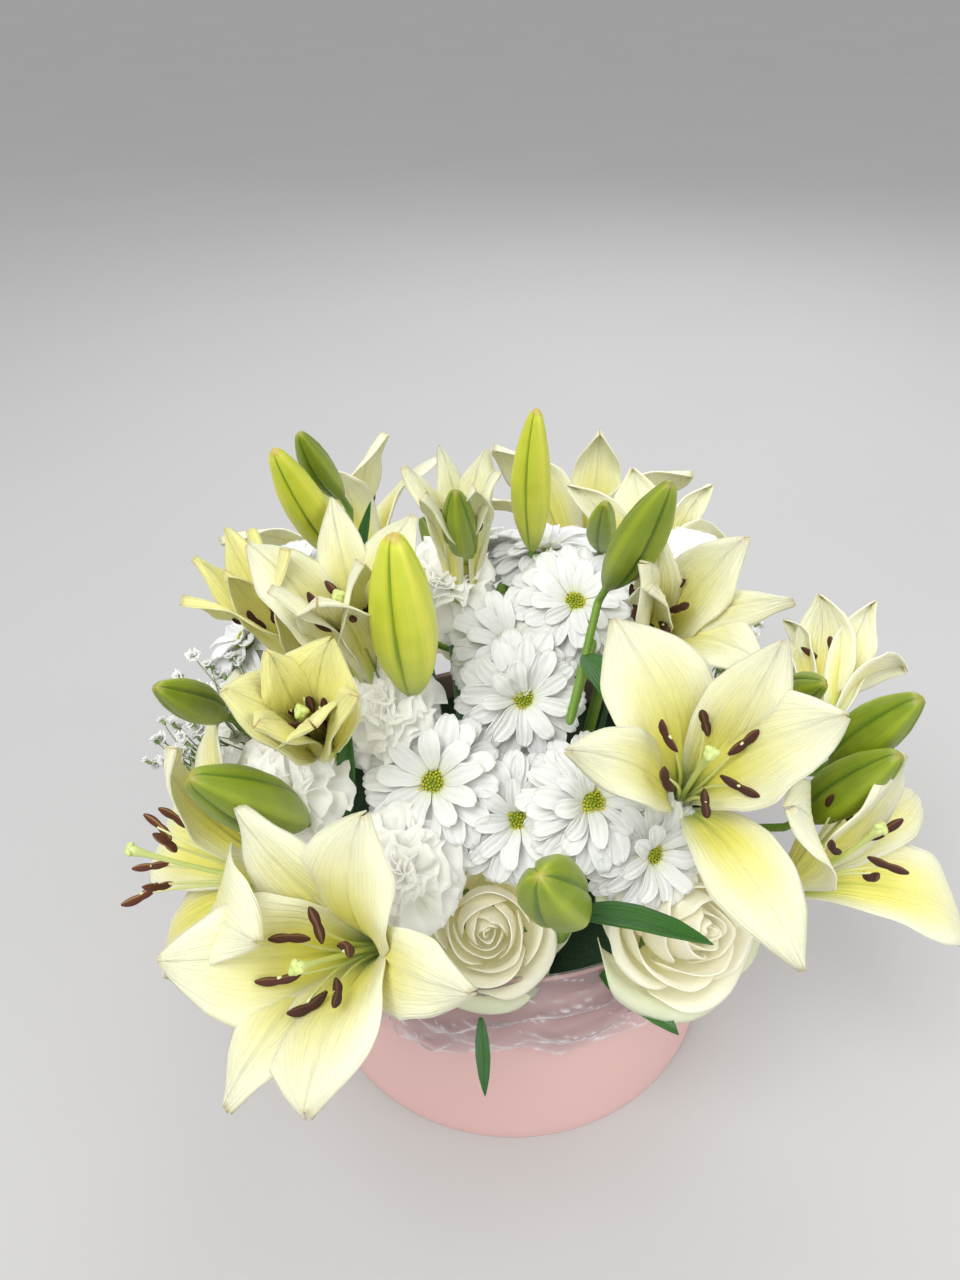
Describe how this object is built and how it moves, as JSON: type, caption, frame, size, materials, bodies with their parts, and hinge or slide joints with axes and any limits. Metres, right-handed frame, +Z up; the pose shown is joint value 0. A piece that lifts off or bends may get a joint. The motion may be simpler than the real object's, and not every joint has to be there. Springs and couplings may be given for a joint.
{
  "type": "flower box arrangement",
  "caption": "Round pink board box with floral foam holding an arrangement of open lilies and buds, roses, chrysanthemums, carnations and gypsophila.",
  "frame": {"origin": "centre of the box's round underside", "axes": "+Z up along the box's axis, -Y towards the front of the arrangement, +X to the right seen from the front"},
  "size_m": [0.3727, 0.4012, 0.3509],
  "materials": {
    "board_pink": "matte coated board, pale pink",
    "film_clear": "clear crinkled film",
    "foam_green": "fine open-cell foam, soaked",
    "tepal_cream": "satin petal with fine lengthwise veins, yellow towards the throat",
    "tepal_yellow": "satin petal, deeper yellow with orange-brown tips",
    "anther_rust": "dusty dark brown-red anthers on pale green threads",
    "pistil_green": "waxy pale green",
    "lily_stem_green": "satin green stem",
    "bud_green": "waxy green to yellow bud with furrows",
    "leaf_green": "glossy deep green with parallel veins",
    "rose_cream": "velvety cream petals, greenish outside",
    "rose_green": "satin green stems and sepals",
    "daisy_white": "satin white rays with fine grooves",
    "daisy_green": "grainy yellow-green disc",
    "daisy_stem_green": "satin green stem",
    "carnation_white": "soft ruffled white petals with toothed edges",
    "carnation_green": "waxy blue-green calyx and stem",
    "gypsophila_white": "tiny white flowers on thread-like green stalks"
  },
  "bodies": {
    "root": {"box_wall": "board_pink", "box_base": "board_pink", "liner_film": "film_clear", "floral_foam": "foam_green", "lily_1_tepals": "tepal_cream", "lily_2_tepals": "tepal_cream", "lily_3_tepals": "tepal_yellow", "lily_4_tepals": "tepal_cream", "lily_5_tepals": "tepal_yellow", "lily_6_tepals": "tepal_cream", "lily_7_tepals": "tepal_cream", "lily_8_tepals": "tepal_cream", "lily_9_tepals": "tepal_cream", "lily_10_tepals": "tepal_cream", "lily_11_tepals": "tepal_cream", "lily_12_tepals": "tepal_cream", "lily_13_tepals": "tepal_cream", "lily_1_stamens": "anther_rust", "lily_2_stamens": "anther_rust", "lily_3_stamens": "anther_rust", "lily_4_stamens": "anther_rust", "lily_5_stamens": "anther_rust", "lily_6_stamens": "anther_rust", "lily_7_stamens": "anther_rust", "lily_8_stamens": "anther_rust", "lily_9_stamens": "anther_rust", "lily_10_stamens": "anther_rust", "lily_11_stamens": "anther_rust", "lily_12_stamens": "anther_rust", "lily_13_stamens": "anther_rust", "lily_pistils": "pistil_green", "lily_stem_a": "lily_stem_green", "lily_stem_b": "lily_stem_green", "lily_stem_c": "lily_stem_green", "lily_stem_d": "lily_stem_green", "lily_stem_e": "lily_stem_green", "lily_stem_f": "lily_stem_green", "lily_stem_g": "lily_stem_green", "lily_buds_a": "bud_green", "lily_buds_b": "bud_green", "lily_buds_c": "bud_green", "lily_buds_d": "bud_green", "lily_buds_e": "bud_green", "lily_buds_f": "bud_green", "lily_buds_g": "bud_green", "leaves": "leaf_green", "rose_1_petals": "rose_cream", "rose_2_petals": "rose_cream", "rose_3_petals": "rose_cream", "rose_4_petals": "rose_cream", "rose_stems": "rose_green", "daisy_rays_front": "daisy_white", "daisy_rays_middle": "daisy_white", "daisy_rays_back": "daisy_white", "daisy_discs": "daisy_green", "daisy_stems": "daisy_stem_green", "carnation_petals": "carnation_white", "carnation_stems": "carnation_green", "gypsophila": "gypsophila_white"}
  },
  "joints": []
}
